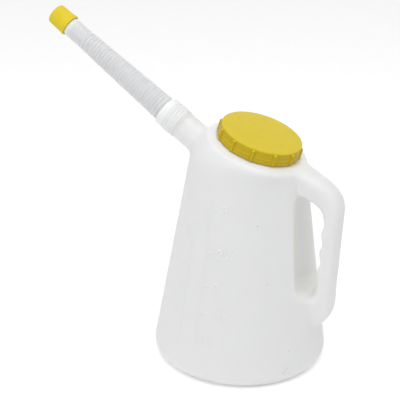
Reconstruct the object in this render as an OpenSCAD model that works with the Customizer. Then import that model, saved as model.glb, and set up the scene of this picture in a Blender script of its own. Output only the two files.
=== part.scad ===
// Oil measuring jug: a blown, translucent jug with a hollow handle, a tilted
// filling mouth under a screw lid, and a corrugated pouring spout with a cap.
// Millimetres. The origin is the middle of the base, +Z is up, the handle is
// at +X and the spout leaves towards -X.

/* [Body] */
// Radius that the tapered wall would have at floor level
base_r = 89.5; // [87:0.5:92]
// Radius lost for each millimetre of height
taper = 0.165; // [0.155:0.005:0.175]
// Thickness of the blown wall
wall = 1.6; // [1.2:0.1:2]
// Radius of the rounded bottom corner
base_corner = 12; // [8:1:16]
// Radius of the hollow in the underside of the base
hollow_r = 60; // [50:1:66]
// Depth of the hollow in the underside of the base
hollow_depth = 2.5; // [1:0.5:4]

/* [Shoulder] */
// Height of the lid's lower rim above the start of the shoulder's curve
shoulder_h = 22.3; // [20:0.1:26]
// Drop of that start towards the handle, for each millimetre of reach
blend_slope = 0.14; // [0.1:0.01:0.18]
// Length over which the curve still follows the wall
blend_pull = 13; // [10:1:15]
// Width of the level land round the mouth, outside the lid
land_w = 3; // [2:0.5:4]
// Width of the sloping platform outside the land
platform_w = 5.5; // [4:0.5:7]
// Drop of the platform from the land to its edge
platform_drop = 2; // [1:0.2:3]
// Reach of the shoulder's curve where it meets the platform's edge
shoulder_reach = 3; // [2:0.5:4]

/* [Mouth and lid] */
// Distance of the mouth's centre from the jug's axis, towards the handle
mouth_x = 11.8; // [9:0.2:13]
// Height of the lid's lower rim at the mouth's centre
mouth_z = 225.3; // [223:0.5:228]
// Tilt of the mouth towards the handle, in degrees
mouth_tilt = 16.7; // [14:0.1:18]
// Gap between the shoulder and the lid's lower rim
rim_gap = 1.5; // [1:0.1:2]
// Outer radius of the lid's skirt
lid_r = 40.8; // [40:0.1:41.5]
// Height of the lid
lid_h = 13; // [12:0.5:15]
// Thickness of the lid's top
lid_top = 2; // [1.5:0.1:2.4]
// Thickness of the lid's skirt
skirt_w = 1.9; // [1.5:0.1:2.2]
// Radius of the lid's rounded top edge
lid_edge = 1; // [0.6:0.1:1.4]
// Height of the thicker band at the lid's lower rim
band_h = 7.6; // [6:0.2:8]
// Amount that the band stands out from the skirt
band_out = 0.4; // [0.2:0.1:0.5]
// Number of grip ribs round the lid
rib_count = 12; // [8:1:18]
// Width of a grip rib
rib_w = 3; // [2:0.2:4]
// Height of a grip rib above the skirt
rib_out = 1.5; // [1:0.1:2]
// Angle of the first grip rib from the handle side
rib_start = 13.5; // [0:0.5:30]
// Distance of a grip rib's top below the lid's top
rib_drop = 1.6; // [1.2:0.1:3]
// Room between the mouth's wall and the lid's bore, for the thread
lid_thread_room = 2; // [1.6:0.1:2.4]
// Thickness of the mouth's wall
mouth_wall = 1.9; // [1.5:0.1:2.5]
// Thickness of the seal in the lid
lid_seal_h = 1.2; // [1:0.1:1.6]

/* [Handle] */
// Thickness of the grip, in line with the arm
grip_t = 15; // [13:0.5:17]
// Width of the grip, across the arm
grip_w = 27; // [24:0.5:30]
// Squareness of the grip's section: 2 is an ellipse, more is boxier
grip_square = 2.5; // [2:0.1:3]
// Distance of the grip's centre line outside the base's radius, at the top
grip_out = 2.8; // [1:0.2:5]
// Lean of the grip: how much nearer the jug its lower end lies
grip_lean = 2.6; // [1:0.2:4]
// Depth of the grip's upper end below the start of the shoulder's curve
grip_drop = 25; // [22:1:30]
// Height of the grip's lower end
grip_low = 88; // [84:1:92]
// Depth of the finger waves on the grip's inner side
wave_depth = 1.2; // [0.6:0.2:2]
// Height of one finger wave
wave_pitch = 18; // [14:1:22]
// Distance of the finger recess's deepest point inside the base's radius
recess_in = 34.5; // [31:0.5:36]
// Radius of the finger recess, seen from above
recess_r = 53; // [46:1:60]
// Height of the finger recess's lower end
recess_low = 80; // [77:1:84]
// Height of the finger recess's upper end above the grip's
recess_over = 2; // [0:1:6]
// Radius of the finger recess's rounded ends
recess_end = 20; // [14:1:24]

/* [Spout] */
// Rise of the spout above the level, in degrees
spout_rise = 33.3; // [31:0.1:36]
// Distance of the joint of stub and spout inside the base's radius
spout_in = 18.5; // [17:0.5:20]
// Height of the joint of stub and spout above the lid's lower rim
spout_over = 6; // [4:0.5:8]
// Outer radius of the stub on the jug
stub_r = 14.5; // [13.8:0.1:15]
// Radius that the stub's foot gains where it leaves the shoulder
stub_flare = 4; // [3:0.5:5]
// Length of the threaded nose of the stub, inside the collar
nose_len = 12.8; // [11:0.2:14]
// Outer radius of the spout's collar
collar_r = 15; // [14.6:0.1:15.4]
// Length of the collar
collar_len = 21.7; // [19:0.1:24]
// Wall of the collar
collar_wall = 1.6; // [1.3:0.1:1.8]
// Room between the stub's nose and the collar's bore, for the thread
collar_thread_room = 0.9; // [0.8:0.1:1]
// Number of thread ribs that show on the collar
collar_ribs = 4; // [2:1:5]
// Rise of the collar's thread in one turn
collar_pitch = 3.2; // [2.8:0.1:3.6]
// Thickness of the seal in the collar
spout_seal_h = 1.4; // [1:0.1:1.8]
// Outer radius of the tube at the valley of the first fold
tube_r1 = 12.4; // [11.8:0.1:12.8]
// Outer radius of the tube at the valley of the last fold
tube_r2 = 9.4; // [9:0.1:9.8]
// Number of folds
fold_count = 30; // [20:1:34]
// Length of one fold
fold_pitch = 3.52; // [3.2:0.02:3.8]
// Radius of a fold's round back
fold_r = 1.3; // [1.1:0.05:1.5]
// Height of a fold above the valley
fold_h = 0.7; // [0.5:0.05:0.9]
// Wall of the tube
tube_wall = 1; // [0.8:0.1:1.2]
// Length of the smooth tip between the folds and the cap
tip_len = 21.2; // [16:0.2:26]
// Outer radius of the smooth tip
tip_r = 9.7; // [9.5:0.1:10]
// Length of the threaded nozzle inside the cap
nozzle_len = 17.8; // [15:0.2:20]
// Outer radius of the threaded nozzle
nozzle_r = 8.5; // [8:0.1:8.8]
// Bore radius of the nozzle
nozzle_bore = 7; // [6:0.1:7.4]

/* [Spout cap] */
// Outer radius of the cap at its open end
cap_r = 11.1; // [10.8:0.1:11.5]
// Outer radius of the cap at its closed end
cap_end_r = 10.6; // [10.4:0.1:11]
// Thickness of the cap's end
cap_top = 1.8; // [1.4:0.1:2.4]
// Wall of the cap
cap_wall = 1.3; // [1.1:0.1:1.4]
// Radius of the cap's rounded closed end
cap_round = 3.2; // [2:0.2:4]
// Amount that the bead at the cap's open end stands out
bead_out = 0.5; // [0.3:0.1:0.8]
// Width of the bead at the cap's open end
bead_w = 2.4; // [1.6:0.2:3]
// Number of grooves in the cap's knurl
knurl_count = 36; // [24:1:48]
// Depth of a groove at the cap's closed end
knurl_depth = 0.4; // [0.2:0.05:0.5]
// Half width of a groove at the outside, as a part of the spacing
knurl_open = 0.35; // [0.25:0.05:0.45]
// Thickness of the liner in the cap
liner_h = 1.2; // [0.8:0.1:1.6]

/* [Fits] */
// Gap between flat faces that press together, with the screws done up
face_gap = 0.1; // [0.05:0.05:0.2]
// Radial clearance round a seal
seal_fit = 0.4; // [0.3:0.05:0.5]

/* [Hidden] */

$fn = 96;
// Overlap that lets two solids join, or a cut run past a face
eps = 0.5;
white = [0.90, 0.90, 0.89];
yellow = [0.87, 0.75, 0.16];
grey = [0.55, 0.55, 0.54];

// Tapered wall, and the height at the centre line where it starts to curve in
taper_angle = atan(taper);
blend_z = mouth_z - shoulder_h;
// Middle of the bottom corner's round, measured from the jug's axis
corner_x = base_r - taper * base_corner - base_corner / cos(taper_angle);
// Points round the body, and steps along its bottom corner and its shoulder
ring_n = 72;
corner_n = 6;
shoulder_n = 8;

// Lid and mouth, measured along the mouth's axis from the lid's lower rim
lid_bore = lid_r - skirt_w;
lid_ceiling = lid_h - lid_top;
lid_seal_z = lid_ceiling - face_gap - lid_seal_h;
mouth_top = lid_seal_z - face_gap;
mouth_r = lid_bore - lid_thread_room;
// Depth that the mouth's wall reaches down into the shoulder
mouth_sunk = 8;
land_r = lid_r + land_w;
edge_r = land_r + platform_w;
edge_h = -rim_gap - platform_drop;

// Spout, measured along its axis from the joint with the stub
collar_bore = collar_r - collar_wall;
nose_r = collar_bore - collar_thread_room;
nose_bore = nose_r - wall;
spout_seal_z = nose_len + face_gap;
collar_floor = spout_seal_z + spout_seal_h + face_gap;
folds_z = collar_len + 2.4;
collar_round = 3.5;
// Round ribs that the collar's thread shows as, sunk in its wall
thread_rib_r = 0.9;
thread_rib_sunk = 0.4;
// Lengths over which the bores of collar, tip and nozzle run into each other
collar_root = 2;
nozzle_root = 3;
tip_root = 5;
tip_z = folds_z + fold_count * fold_pitch;
cap_z = tip_z + tip_len;
nozzle_end = cap_z + nozzle_len;
liner_z = nozzle_end + face_gap;
cap_ceiling = liner_z + liner_h + face_gap;
cap_end = cap_ceiling + cap_top;
cap_bore = cap_r - cap_wall;
tube_taper = (tube_r1 - tube_r2) / (tip_z - folds_z);

// Joint of stub and spout, and the length of the stub back to inside the shoulder
spout_x = base_r - spout_in;
spout_z = mouth_z + spout_over;
stub_reach = 31;

// Handle and finger recess
grip_x = base_r + grip_out;
grip_end_x = grip_x - grip_lean;
grip_top = blend_z - grip_drop;
recess_x = base_r - recess_in;
recess_top = grip_top + recess_over;
handle_steps = 4;
handle_sides = 28;
// Half thickness of the handle where the upper arm leaves the shoulder, and at its foot
arm_t = 8.6;
foot_t = 18.8;
// Half width of the handle's foot
foot_w = 17;

// Outside radius of the tapered wall at height z, or of its inside if d is the wall
function wall_r(z, d) = base_r - taper * z - d / cos(taper_angle);

// A point at radius r and angle a about the mouth's axis, h above the lid's lower rim
function mouth_point(r, a, h) = [
    mouth_x + r * cos(a) * cos(mouth_tilt) + h * sin(mouth_tilt),
    r * sin(a),
    mouth_z - r * cos(a) * sin(mouth_tilt) + h * cos(mouth_tilt)];

// Where the wall starts to curve in, at angle a
function blend_r(a, d) = wall_r(blend_z, d) / (1 - taper * blend_slope * cos(a));
function blend_point(a, d, up) = let (r = blend_r(a, d)) [
    (r - taper * up) * cos(a),
    (r - taper * up) * sin(a),
    blend_z - blend_slope * r * cos(a) + up];

// A point on a curve that leaves p along p-q and arrives at s along r-s
function bezier(p, q, r, s, t) =
    pow(1 - t, 3) * p + 3 * t * pow(1 - t, 2) * q + 3 * t * t * (1 - t) * r + pow(t, 3) * s;

// A point on the shoulder, from the wall at t = 0 to the platform's edge at t = 1
function shoulder_point(a, d, t) = bezier(
    blend_point(a, d, 0), blend_point(a, d, blend_pull),
    mouth_point(edge_r + shoulder_reach - d, a, edge_h - shoulder_reach - d),
    mouth_point(edge_r - d, a, edge_h - d), t);

// A point on the round bottom corner, from the base at t = 0 to the wall at t = 1
function corner_point(a, d, t) = let (
        turn = t * (90 + taper_angle) - 90,
        r = corner_x + (base_corner - d) * cos(turn))
    [r * cos(a), r * sin(a), base_corner + (base_corner - d) * sin(turn)];

// Rings up the body, from the base to the land round the mouth, inset by d
function body_rings(d) = let (angles = [for (k = [0 : ring_n - 1]) 360 * k / ring_n]) concat(
    [for (i = [0 : corner_n]) [for (a = angles) corner_point(a, d, i / corner_n)]],
    [for (i = [0 : shoulder_n]) [for (a = angles) shoulder_point(a, d, i / shoulder_n)]],
    [[for (a = angles) mouth_point(land_r - d, a, -rim_gap - d)]]);

// Faces of a solid skinned over rings of m points each
function skin_sides(rings, m) = [for (i = [0 : rings - 2], k = [0 : m - 1])
    [i * m + k, (i + 1) * m + k, (i + 1) * m + (k + 1) % m, i * m + (k + 1) % m]];
function skin_ends(rings, m) = [
    [for (k = [0 : m - 1]) k],
    [for (k = [m - 1 : -1 : 0]) (rings - 1) * m + k]];

module skin(rings) {
    m = len(rings[0]);
    polyhedron(
        points = [for (ring = rings) each ring],
        faces = concat(skin_sides(len(rings), m), skin_ends(len(rings), m)),
        convexity = 6);
}

module at_mouth() {
    translate([mouth_x, 0, mouth_z]) rotate([0, mouth_tilt, 0]) children();
}

module at_spout() {
    translate([-spout_x, 0, spout_z]) rotate([0, spout_rise - 90, 0]) children();
}

// The hollow under the base, grown by d
module base_dish(d) {
    translate([0, 0, -1]) cylinder(r1 = hollow_r + 3 + d, r2 = hollow_r + d, h = 1 + hollow_depth + d);
}

// The scoop beside the grip that makes room for fingers, grown by d
module recess(d) {
    translate([recess_x + recess_r, 0, 0]) rotate_extrude() {
        translate([0, recess_low - d])
            square([recess_r - recess_end, recess_top - recess_low + 2 * d]);
        translate([0, recess_low + recess_end])
            square([recess_r + d, recess_top - recess_low - 2 * recess_end]);
        for (z = [recess_low + recess_end, recess_top - recess_end])
            translate([recess_r - recess_end, z]) circle(r = recess_end + d);
    }
}

module body_form(d) {
    difference() {
        skin(body_rings(d));
        recess(d);
        base_dish(d);
    }
}

// Stations of the handle's centre line: x, z, half thickness and half width
grip_stations = 8;
function grip_station(i) = let (part = i / (grip_stations - 1)) [
    grip_x - grip_lean * part,
    grip_top - 10 - (grip_top - 10 - grip_low) * part,
    grip_t / 2, grip_w / 2];
function arm_stations() = [
    [grip_x - 54.3, blend_z + 1.7, arm_t, grip_w / 2 + 3.5],
    [grip_x - 43.3, blend_z + 0.6, arm_t, grip_w / 2 + 2.5],
    [grip_x - 32.3, blend_z - 1.6, arm_t, grip_w / 2 + 1.5],
    [grip_x - 22.3, blend_z - 6.5, grip_t / 2 + 0.7, grip_w / 2 + 0.7],
    [grip_x - 13.3, blend_z - 11.5, grip_t / 2 + 0.4, grip_w / 2],
    [grip_x - 5.5, grip_top + 7.5, grip_t / 2 + 0.2, grip_w / 2],
    [grip_x - 1, grip_top - 1, grip_t / 2, grip_w / 2]];
function foot_stations() = [
    [grip_end_x - 1, grip_low - 10, grip_t / 2 + 1.6, grip_w / 2],
    [grip_end_x - 5, grip_low - 18.5, grip_t / 2 + 5.5, grip_w / 2 + 0.5],
    [grip_end_x - 12.5, grip_low - 24.5, foot_t - 1, foot_w - 2],
    [grip_end_x - 22.7, grip_low - 26, foot_t, foot_w],
    [grip_end_x - 33.7, grip_low - 26, foot_t, foot_w + 1]];
function handle_stations() = concat(
    arm_stations(), [for (i = [0 : grip_stations - 1]) grip_station(i)], foot_stations());

// Catmull-Rom value between b and c
function spline(a, b, c, d, t) = 0.5 * (2 * b + (c - a) * t
    + (2 * a - 5 * b + 4 * c - d) * t * t + (3 * b - a - 3 * c + d) * t * t * t);

function handle_line() = let (s = handle_stations(), n = len(s)) [
    for (i = [0 : n - 2], k = [0 : handle_steps - 1])
        if (k == 0 || (i > 3 && i < n - 3 && (k % 2 == 0 || i > 5)))
            spline(s[max(i - 1, 0)], s[i], s[i + 1], s[min(i + 2, n - 1)], k / handle_steps),
    s[n - 1]];

// How far the finger waves push the inner side in, at height z
function wave(z) = z > grip_top - 4 || z < grip_low ? 0
    : wave_depth / 2 * (1 - cos(360 * (grip_top - 4 - z) / wave_pitch));

function power(v, p) = sign(v) * pow(abs(v), p);

// One ring of the handle: section at point q, with the unit normal n, inset by d
function handle_ring(q, n, d) = [for (k = [0 : handle_sides - 1])
    let (
        a = 360 * k / handle_sides,
        dip = cos(a) < 0 ? wave(q[1]) * -cos(a) : 0,
        u = power(cos(a), 2 / grip_square) * (q[2] - d - dip),
        v = power(sin(a), 2 / grip_square) * (q[3] - d))
    [q[0] + n[0] * u, -v, q[1] + n[1] * u]];

module handle_form(d) {
    line = handle_line();
    last = len(line) - 1;
    skin([for (i = [0 : last])
        let (
            before = line[max(i - 1, 0)],
            after = line[min(i + 1, last)],
            run = [after[0] - before[0], after[1] - before[1]],
            n = [-run[1], run[0]] / norm(run))
        handle_ring(line[i], n, d)]);
}

module mouth_tube(r) {
    at_mouth() translate([0, 0, -mouth_sunk]) cylinder(r = r, h = mouth_sunk + mouth_top);
}

// The stub that the spout screws on, with its foot in the shoulder
module stub() {
    at_spout() {
        translate([0, 0, -stub_reach]) cylinder(r = stub_r, h = stub_reach);
        translate([0, 0, -wall]) cylinder(r = nose_r, h = wall + nose_len);
        translate([0, 0, -stub_reach])
            cylinder(r1 = stub_r + stub_flare, r2 = stub_r, h = 2 * stub_flare);
    }
}

module stub_bore() {
    at_spout() {
        translate([0, 0, -stub_reach - wall]) cylinder(r = stub_r - wall, h = stub_reach);
        translate([0, 0, -stub_reach]) cylinder(r = nose_bore, h = stub_reach + nose_len + eps);
    }
}

module jug_body() {
    color(white) difference() {
        union() {
            body_form(0);
            handle_form(0);
            mouth_tube(mouth_r);
            stub();
        }
        union() {
            body_form(wall);
            handle_form(wall);
            at_mouth() translate([0, 0, -mouth_sunk - wall])
                cylinder(r = mouth_r - mouth_wall, h = mouth_sunk + wall + mouth_top + eps);
            stub_bore();
        }
    }
}

// One grip rib, half sunk in the skirt, with a sloping top
module lid_rib() {
    rib_r = rib_w / 2;
    rib_h = lid_h - rib_drop;
    translate([lid_r + rib_out - rib_r, 0, 0]) {
        cylinder(r = rib_r, h = rib_h - rib_r);
        translate([0, 0, rib_h - rib_r]) cylinder(r1 = rib_r, r2 = rib_r / 3, h = rib_r);
    }
}

module lid() {
    color(yellow) at_mouth() difference() {
        union() {
            rotate_extrude() {
                square([lid_r, lid_h - lid_edge]);
                square([lid_r - lid_edge, lid_h]);
                translate([lid_r - lid_edge, lid_h - lid_edge]) circle(r = lid_edge, $fn = 32);
            }
            cylinder(r = lid_r + band_out, h = band_h);
            for (i = [0 : rib_count - 1])
                rotate(rib_start + 360 * i / rib_count) lid_rib();
        }
        translate([0, 0, -eps]) cylinder(r = lid_bore, h = lid_ceiling + eps);
    }
}

module lid_seal() {
    color(grey) at_mouth() translate([0, 0, lid_seal_z])
        cylinder(r = lid_bore - seal_fit, h = lid_seal_h);
}

// Outside or, inset by d, inside of the folded tube, from the collar to the tip
fold_points = 3;
function fold_point(i, side, d) = let (
        z = (i + 0.5) * fold_pitch,
        half = acos((fold_r - fold_h) / fold_r),
        a = half * side,
        r = fold_r - d)
    [tube_r1 - tube_taper * z + fold_h - fold_r + r * cos(a), folds_z + z + r * sin(a)];
function tube_line(d) = [
    for (i = [0 : fold_count - 1], k = [-fold_points : fold_points])
        fold_point(i, k / fold_points, d)];
function reversed(list) = [for (i = [len(list) - 1 : -1 : 0]) list[i]];
function round_corner(r, z, radius) = [
    for (a = [0 : 15 : 90]) [r - radius + radius * cos(a), z - radius + radius * sin(a)]];
function thread_rib(i) = let (z = thread_rib_r + i * collar_pitch) [
    for (a = [-60 : 30 : 60]) [
        collar_r - thread_rib_sunk + thread_rib_r * cos(a),
        z + thread_rib_r * sin(a)]];

module spout_section() {
    polygon(concat(
        [[collar_bore, face_gap], [collar_r, face_gap]],
        [for (i = [1 : collar_ribs]) each thread_rib(i)],
        round_corner(collar_r, collar_len, collar_round),
        [[tube_r1, collar_len], [tube_r1, folds_z]],
        tube_line(0),
        [[tip_r, tip_z], [tip_r, cap_z - face_gap], [nozzle_r, cap_z - face_gap]],
        [[nozzle_r, nozzle_end], [nozzle_bore, nozzle_end], [nozzle_bore, cap_z - nozzle_root]],
        [[tip_r - tube_wall, cap_z - tip_root], [tip_r - tube_wall, tip_z]],
        reversed(tube_line(tube_wall)),
        [[tube_r1 - tube_wall, folds_z], [nose_bore, collar_floor + collar_root], [nose_bore, collar_floor]],
        [[collar_bore, collar_floor]]));
}

module spout() {
    color(white) at_spout() rotate_extrude() spout_section();
}

module spout_seal() {
    color(grey) at_spout() translate([0, 0, spout_seal_z]) difference() {
        cylinder(r = collar_bore - seal_fit, h = spout_seal_h);
        translate([0, 0, -eps]) cylinder(r = nose_bore, h = spout_seal_h + 2 * eps);
    }
}

// Section of the knurled grip: flat-sided grooves between wide crests
module knurl_section() {
    step = 360 / knurl_count;
    polygon([for (i = [0 : knurl_count - 1]) each [
        (cap_end_r - knurl_depth) * [cos(i * step), sin(i * step)],
        (cap_r + 1) * [cos((i + knurl_open) * step), sin((i + knurl_open) * step)],
        (cap_r + 1) * [cos((i + 1 - knurl_open) * step), sin((i + 1 - knurl_open) * step)]]]);
}

module spout_cap() {
    cap_len = cap_end - cap_z;
    color(yellow) at_spout() translate([0, 0, cap_z]) difference() {
        union() {
            intersection() {
                rotate_extrude() {
                    polygon([
                        [0, 0], [cap_r, 0], [cap_end_r, cap_len - cap_round],
                        [cap_end_r - cap_round, cap_len], [0, cap_len]]);
                    translate([cap_end_r - cap_round, cap_len - cap_round]) circle(r = cap_round);
                }
                linear_extrude(cap_len + eps) knurl_section();
            }
            cylinder(r = cap_r + bead_out, h = bead_w);
        }
        translate([0, 0, -eps]) cylinder(r = cap_bore, h = cap_ceiling - cap_z + eps);
    }
}

module cap_liner() {
    color(grey) at_spout() translate([0, 0, liner_z])
        cylinder(r = cap_bore - seal_fit, h = liner_h);
}

jug_body();
lid();
lid_seal();
spout();
spout_seal();
spout_cap();
cap_liner();
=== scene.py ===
"""An oil measuring jug of translucent plastic, with a yellow lid, a corrugated spout and a capped tip.

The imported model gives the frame. The rigid pieces that show are rebuilt here on the same
driving sizes, with the soft blends, threads, graduations and surface grain of the real ones.
Shapes are worked out in millimetres and become metres when a mesh is made.
"""
import math

import bpy
import numpy as np
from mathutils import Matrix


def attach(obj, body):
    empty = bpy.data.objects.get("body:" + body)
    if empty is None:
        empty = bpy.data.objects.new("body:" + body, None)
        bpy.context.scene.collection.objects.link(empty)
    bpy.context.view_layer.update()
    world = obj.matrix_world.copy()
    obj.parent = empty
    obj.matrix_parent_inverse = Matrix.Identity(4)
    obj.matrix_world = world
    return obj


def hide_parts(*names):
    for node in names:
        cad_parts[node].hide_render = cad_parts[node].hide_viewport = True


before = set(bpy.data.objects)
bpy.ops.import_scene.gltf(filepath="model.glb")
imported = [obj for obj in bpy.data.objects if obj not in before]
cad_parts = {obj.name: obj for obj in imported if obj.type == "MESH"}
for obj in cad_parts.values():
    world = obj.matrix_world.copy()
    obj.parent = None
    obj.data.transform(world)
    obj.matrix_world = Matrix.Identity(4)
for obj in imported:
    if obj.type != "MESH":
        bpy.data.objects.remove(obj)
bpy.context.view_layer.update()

import openvdb
from mathutils import Matrix, Vector

MM = 0.001

# Jug body
BASE_R = 89.5
TAPER = 0.165
TAPER_ANGLE = math.atan(TAPER)
WALL = 1.6
BASE_CORNER = 12.0
HOLLOW_R = 60.0
HOLLOW_DEPTH = 2.5

# Shoulder
BLEND_Z = 203.0
BLEND_SLOPE = 0.14
BLEND_PULL = 13.0
SHOULDER_REACH = 3.0
EDGE_R = 49.3
EDGE_H = -3.5
# Edge of the raised platform round the mouth, as radius and height by the lid's lower rim
PLATFORM = ((51.0, -16.0), (50.4, -6.0), (49.4, -3.7), (44.8, -1.8), (43.0, -0.5))
LAND_H = -0.5

# Mouth and lid, along the mouth's axis from the lid's lower rim
MOUTH_X = 11.8
MOUTH_Z = 225.3
MOUTH_TILT = math.radians(16.7)
RIM_GAP = 1.5
LID_R = 40.8
LID_H = 13.0
LID_TOP = 2.0
LID_BORE = LID_R - 1.9
LID_CEILING = LID_H - LID_TOP
BAND_OUT = 0.4
RIB_COUNT = 12
RIB_W = 3.4
RIB_OUT = 1.5
SKIRT_R = LID_R - 0.3
RIB_START = math.radians(13.5)
RIB_TOP = LID_H - 1.6
LAND_R = LID_R + 3.0
MOUTH_R = LID_BORE - 2.0
MOUTH_WALL = 1.9
MOUTH_TOP = LID_CEILING - 1.4
LID_PITCH = 5.0
# Width and height of the ridges of the neck's and the lid's thread
NECK_RIDGE = (2.2, 1.2)
LID_RIDGE = (2.0, 1.0)

# Handle and finger recess
GRIP_T = 17.6
GRIP_W = 27.0
GRIP_SQUARE = 3.0
GRIP_X = 92.4
GRIP_LEAN = 2.6
GRIP_TOP = 178.0
GRIP_LOW = 88.0
WAVE_DEPTH = 3.0
WAVE_PITCH = 20.0
WAVE_START = 9.0
RECESS_X = 55.0
RECESS_R = 30.0
RECESS_LOW = 83.0
RECESS_TOP = 185.0
RECESS_END = 14.0

# Fillets where the skin's forms meet
RECESS_BLEND = 9.0
DISH_BLEND = 3.0
# Fillet between the body and the handle, as height up the jug and radius
ARM_BLEND = ((40, 5), (60, 8), (90, 5), (160, 6), (190, 9))
PLATFORM_BLEND = 3.0
STUB_BLEND = 4.5
ROOM_BLEND = 1.5
# Swelling of the wall beside the recess: its height, angle and half width
CHEEK_OUT = 3.0
CHEEK_ANGLE = math.radians(25)
CHEEK_SPREAD = math.radians(12)

# Upper arm of the handle as x, height, half thickness and half width
ARM = (
    (38, 203.0, 8.6, 17),
    (49, 201.5, 9.6, 16),
    (61, 198.4, 11.0, 15),
    (71.2, 192.4, 12.2, 14.2),
    (80, 187.6, 11.8, GRIP_W / 2),
    (87.6, 181.6, 11.0, GRIP_W / 2),
    (92.0, 173.5, 9.6, GRIP_W / 2),
)

# Spout, along its axis from the joint with the stub
SPOUT_RISE = math.radians(33.3)
SPOUT_X = 71.0
SPOUT_Z = 231.3
STUB_R = 14.5
STUB_FLARE = 4.0
STUB_REACH = 31.0
COLLAR_R = 15.0
COLLAR_BORE = COLLAR_R - 1.6
COLLAR_LEN = 21.7
COLLAR_PITCH = 3.2
NOSE_LEN = 12.8
NOSE_R = COLLAR_BORE - 0.9
NOSE_BORE = NOSE_R - WALL
COLLAR_FLOOR = NOSE_LEN + 1.6
TUBE_R1 = 12.4
TUBE_R2 = 9.4
FOLD_COUNT = 30
FOLD_PITCH = 3.52
FOLD_H = 0.7
TUBE_WALL = 1.0
FOLDS_Z = COLLAR_LEN + 2.4
TIP_Z = FOLDS_Z + FOLD_COUNT * FOLD_PITCH
TIP_R = 9.7
CAP_Z = TIP_Z + 21.2
NOZZLE_R = 8.5
NOZZLE_BORE = 7.0
NOZZLE_END = CAP_Z + 17.8
NOZZLE_PITCH = 3.6
# Width and height of the spout's ridges: nose, collar outside and inside, nozzle, cap
NOSE_RIDGE = (1.4, 0.5)
COLLAR_RIDGE = (3.1, 0.4)
BORE_RIDGE = (1.2, 0.4)
NOZZLE_RIDGE = (1.8, 0.6)
CAP_RIDGE = (1.6, 0.5)

# Spout cap, along the spout's axis from the cap's open end
CAP_R = 11.1
CAP_END_R = 10.6
CAP_BORE = CAP_R - 1.3
CAP_CEILING = NOZZLE_END - CAP_Z + 1.4
CAP_LEN = CAP_CEILING + 1.8
CAP_ROUND = 3.2
BEAD_OUT = 0.5
BEAD_W = 2.4
KNURL_COUNT = 36
KNURL_DEPTH = 0.4

# Graduations up the wall as height and number, "h" for a half, with a plain stroke font
LITRES = ((47.4, "1"), (74.7, "1h"), (102.2, "2"), (135.3, "2h"), (176.9, "3"))
SMALL_MARKS = ((43.9, "1"), (64.9, "2"), (88.8, "3"), (114.4, "4"), (146.5, "5"))
LITRE_AZIMUTH = -95.5
LITRE_SIZE = 7.6
SMALL_AZIMUTH = -115.5
SMALL_SIZE = 6.4
# Upright line of each scale as azimuth and lower and upper end
SPINES = ((-98.0, 36, 186), (-113.2, 34, 158))
SCRATCH_AZIMUTH = -25.96
DIGITS = {
    "1": [[(0.2, 0.8), (0.55, 1), (0.55, 0)]],
    "2": [[(0.05, 0.75), (0.16, 0.94), (0.42, 1), (0.76, 0.95), (0.93, 0.78), (0.86, 0.56), (0.05, 0),
           (0.98, 0)]],
    "3": [[(0.05, 0.86), (0.28, 0.99), (0.68, 0.98), (0.9, 0.8), (0.78, 0.6), (0.45, 0.54)],
          [(0.45, 0.54), (0.84, 0.46), (0.98, 0.26), (0.8, 0.06), (0.4, 0), (0.05, 0.14)]],
    "4": [[(0.75, 0), (0.75, 1), (0.02, 0.3), (1, 0.3)]],
    "5": [[(0.9, 1), (0.15, 1), (0.1, 0.55), (0.5, 0.64), (0.9, 0.5), (0.96, 0.25), (0.7, 0.03), (0.35, 0),
           (0.05, 0.12)]],
    "/": [[(0, 0), (0.75, 1)]],
}

# Specks in the plastic as place, radius, colour and strength
SPECKS = (
    ((71.2, -43.8, 35.4), 0.9, (0.42, 0.40, 0.36, 1), 0.5),
    ((48.9, -52.7, 106.7), 0.8, (0.45, 0.42, 0.38, 1), 0.4),
    ((35.6, -51.4, 163.7), 0.9, (0.40, 0.30, 0.20, 1), 0.5),
)
# Painted shade on the finger recess's wall, darker and warmer
RECESS_PAINTED_SHADE = (0.94, 0.92, 0.83, 1)

# Camera, in metres, set so that the outlines fall as in the photo
LENS = 97.17
CAMERA_PLACE = (0.38234, -0.90421, 0.57887)
CAMERA_FORWARD = (-0.39638, 0.83102, -0.39024)
CAMERA_UP = (-0.18671, 0.34321, 0.92051)

# Light added to the floor for the camera alone, so that it shows white outside the shadow
FLOOR_LIFT = 0.22
FLOOR_SIZE = 6.0
WORLD_LIGHT = 0.66

# Grid that the jug's one-piece skin is blended on
VOXEL = 1.5
BAND = 12
# Steps that settle the skin's points on its surface
SETTLE_STEPS = 3
# Points round each of the closed forms that are blended
BODY_COLUMNS = 240
HANDLE_COLUMNS = 72
TURNED_COLUMNS = 180
GRID_LOW = np.array([-98.0, -97.0, -6.0])
GRID_HIGH = np.array([112.0, 97.0, 256.0])


def axis_frame(origin, angle):
    """Matrix of a frame at origin, turned about +Y by angle."""
    return Matrix.Translation(Vector(origin)) @ Matrix.Rotation(angle, 4, "Y")


MOUTH = axis_frame((MOUTH_X, 0, MOUTH_Z), MOUTH_TILT)
SPOUT = axis_frame((-SPOUT_X, 0, SPOUT_Z), SPOUT_RISE - math.pi / 2)
CAP = SPOUT @ Matrix.Translation((0, 0, CAP_Z))


def moved(points, matrix):
    """Points, in the frame of the matrix, in the jug's frame."""
    m = np.array(matrix)
    return points @ m[:3, :3].T + m[:3, 3]


def local(points, matrix):
    """Points of the jug's frame, in the frame of the matrix."""
    return moved(points, matrix.inverted())


# Camera


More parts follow.
